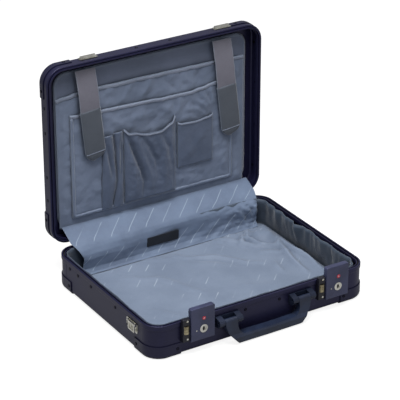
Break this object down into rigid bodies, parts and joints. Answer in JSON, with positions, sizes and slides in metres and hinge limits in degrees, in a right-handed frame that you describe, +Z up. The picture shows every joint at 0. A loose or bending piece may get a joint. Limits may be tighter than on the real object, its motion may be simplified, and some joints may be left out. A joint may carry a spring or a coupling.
{
  "type": "aluminum attache case",
  "caption": "Hard-sided attache case with riveted metal frames, a hinged lid with document pockets, a carrying handle and flip latches with number locks.",
  "frame": {"origin": "centre of the footprint of the open case, on the table under the corner guards", "axes": "+X along the front from the left side to the right, +Y from the handle to the hinges, +Z up"},
  "size_m": [0.4568, 0.4046, 0.413],
  "materials": {
    "anodised_shell": "satin navy anodised",
    "guard_metal": "satin navy anodised",
    "rivet_dark": "satin",
    "lining_cloth": "woven blue-grey polyester",
    "stiff_board": "matte",
    "seal_rubber": "matte",
    "label_black": "smooth black, blank",
    "strap_webbing": "woven mauve-grey tape",
    "steel": "plated",
    "handle_plastic": "moulded dark navy",
    "lock_black": "satin black",
    "lock_cover_paint": "slate navy powder coat",
    "bright_chrome": "polished",
    "wheel_brass": "plated"
  },
  "bodies": {
    "base": {"base_frame": "anodised_shell", "base_panel": "anodised_shell", "base_floor_board": "stiff_board", "base_lining": "lining_cloth", "rim_seal": "seal_rubber", "frame_splice": "steel", "gusset_base": "lining_cloth", "label": "label_black", "base_rivets": "rivet_dark", "base_guard_front_left": "guard_metal", "base_guard_front_right": "guard_metal", "base_guard_back_left": "guard_metal", "base_guard_back_right": "guard_metal", "hinge_leaf_base_left": "steel", "hinge_leaf_base_right": "steel", "hinge_pins": "steel", "handle_bracket_left": "handle_plastic", "handle_bracket_right": "handle_plastic", "handle_pins": "steel", "lock_chassis_left": "lock_black", "lock_chassis_right": "lock_black", "latch_pins": "steel", "wheel_axles": "steel", "strap_lug_left": "bright_chrome", "strap_lug_right": "bright_chrome"},
    "lid": {"lid_frame": "anodised_shell", "lid_panel": "anodised_shell", "lid_guard_front_left": "guard_metal", "lid_guard_front_right": "guard_metal", "lid_guard_back_left": "guard_metal", "lid_guard_back_right": "guard_metal", "lid_rivets": "rivet_dark", "organiser_board": "lining_cloth", "file_pocket": "lining_cloth", "panel_pocket": "lining_cloth", "pleated_pocket": "lining_cloth", "flat_pocket": "lining_cloth", "pen_pockets": "lining_cloth", "strap_left": "strap_webbing", "strap_right": "strap_webbing", "gusset_lid": "lining_cloth", "lid_catch_left": "bright_chrome", "lid_catch_right": "bright_chrome", "hinge_leaf_lid_left": "steel", "hinge_leaf_lid_right": "steel"},
    "handle": {"handle": "handle_plastic"},
    "latch_left": {"lock_cover_left": "lock_cover_paint"},
    "key_left": {"key_cylinder_left": "bright_chrome"},
    "reset_left": {"reset_button_left": "bright_chrome"},
    "wheel_left_1": {"number_wheel_left_1": "wheel_brass"},
    "wheel_left_2": {"number_wheel_left_2": "wheel_brass"},
    "wheel_left_3": {"number_wheel_left_3": "wheel_brass"},
    "latch_right": {"lock_cover_right": "lock_cover_paint"},
    "key_right": {"key_cylinder_right": "bright_chrome"},
    "reset_right": {"reset_button_right": "bright_chrome"},
    "wheel_right_1": {"number_wheel_right_1": "wheel_brass"},
    "wheel_right_2": {"number_wheel_right_2": "wheel_brass"},
    "wheel_right_3": {"number_wheel_right_3": "wheel_brass"},
    "ring_left": {"strap_ring_left": "bright_chrome"},
    "ring_right": {"strap_ring_right": "bright_chrome"}
  },
  "joints": [
    {"name": "lid_hinge", "type": "hinge", "parent": "base", "child": "lid", "pos_m": [0, 0.16825, 0.062], "axis": [1, 0, 0], "range_deg": [0, 90]},
    {"name": "handle_swing", "type": "hinge", "parent": "base", "child": "handle", "pos_m": [0.002, -0.18925, 0.045], "axis": [-1, 0, 0], "range_deg": [0, 100]},
    {"name": "latch_left_flip", "type": "hinge", "parent": "base", "child": "latch_left", "pos_m": [-0.1275, -0.18325, 0.029], "axis": [1, 0, 0], "range_deg": [0, 75]},
    {"name": "key_left_turn", "type": "hinge", "parent": "latch_left", "child": "key_left", "pos_m": [-0.1265, -0.18875, 0.046], "axis": [0, 1, 0], "range_deg": [0, 90]},
    {"name": "reset_left_press", "type": "slide", "parent": "latch_left", "child": "reset_left", "axis": [0, 1, 0], "range_m": [0, 0.001], "stiffness_N_per_m": 60, "springref_m": -0.0005},
    {"name": "wheel_left_1_turn", "type": "hinge", "parent": "base", "child": "wheel_left_1", "pos_m": [-0.159, -0.18405, 0.0453], "axis": [0, 0, 1], "continuous": true},
    {"name": "wheel_left_2_turn", "type": "hinge", "parent": "base", "child": "wheel_left_2", "pos_m": [-0.159, -0.18405, 0.0503], "axis": [0, 0, 1], "continuous": true},
    {"name": "wheel_left_3_turn", "type": "hinge", "parent": "base", "child": "wheel_left_3", "pos_m": [-0.159, -0.18405, 0.0553], "axis": [0, 0, 1], "continuous": true},
    {"name": "latch_right_flip", "type": "hinge", "parent": "base", "child": "latch_right", "pos_m": [0.15, -0.18325, 0.029], "axis": [1, 0, 0], "range_deg": [0, 75]},
    {"name": "key_right_turn", "type": "hinge", "parent": "latch_right", "child": "key_right", "pos_m": [0.151, -0.18875, 0.046], "axis": [0, 1, 0], "range_deg": [0, 90]},
    {"name": "reset_right_press", "type": "slide", "parent": "latch_right", "child": "reset_right", "axis": [0, 1, 0], "range_m": [0, 0.001], "stiffness_N_per_m": 60, "springref_m": -0.0005},
    {"name": "wheel_right_1_turn", "type": "hinge", "parent": "base", "child": "wheel_right_1", "pos_m": [0.1185, -0.18405, 0.0453], "axis": [0, 0, 1], "continuous": true},
    {"name": "wheel_right_2_turn", "type": "hinge", "parent": "base", "child": "wheel_right_2", "pos_m": [0.1185, -0.18405, 0.0503], "axis": [0, 0, 1], "continuous": true},
    {"name": "wheel_right_3_turn", "type": "hinge", "parent": "base", "child": "wheel_right_3", "pos_m": [0.1185, -0.18405, 0.0553], "axis": [0, 0, 1], "continuous": true},
    {"name": "ring_left_swing", "type": "hinge", "parent": "base", "child": "ring_left", "pos_m": [-0.2262, -0.11775, 0.052], "axis": [0, 1, 0], "range_deg": [0, 120]},
    {"name": "ring_right_swing", "type": "hinge", "parent": "base", "child": "ring_right", "pos_m": [0.2262, -0.11775, 0.052], "axis": [0, -1, 0], "range_deg": [0, 120]}
  ]
}
